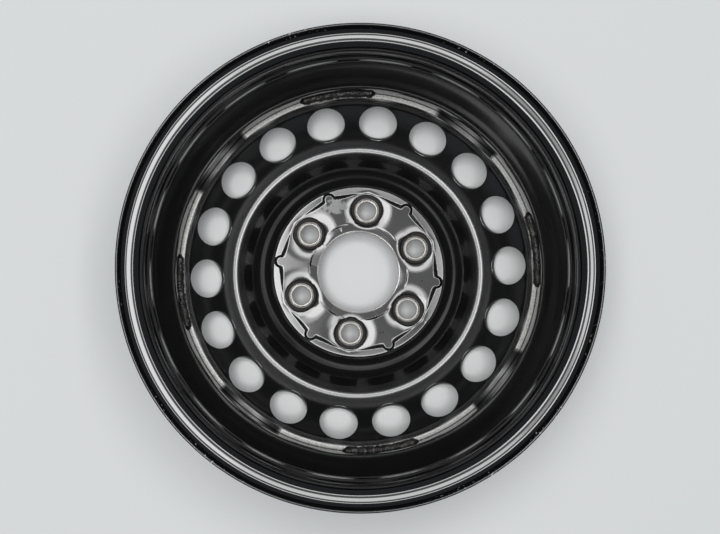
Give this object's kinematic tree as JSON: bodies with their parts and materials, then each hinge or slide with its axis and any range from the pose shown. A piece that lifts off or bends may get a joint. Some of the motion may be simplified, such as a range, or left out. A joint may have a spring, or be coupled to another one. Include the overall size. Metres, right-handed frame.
{
  "type": "steel wheel rim",
  "caption": "Gloss black pressed-steel road wheel: roll-formed rim with curled flanges and a drop-centre well, and a welded disc with bolt holes and round vents.",
  "frame": {"origin": "on the wheel's axis, midway between the two flange faces of the rim", "axes": "+Z along the wheel's axis towards the vehicle side, so the wheel lies on its street-side lip; the first bolt hole lies 22.4 degrees from +X towards +Y"},
  "size_m": [0.4406, 0.4404, 0.1888],
  "materials": {
    "rim_paint": "gloss",
    "disc_paint": "gloss",
    "weld_paint": "satin"
  },
  "bodies": {
    "root": {"rim": "rim_paint", "disc": "disc_paint", "weld_beads": "weld_paint"}
  },
  "joints": []
}
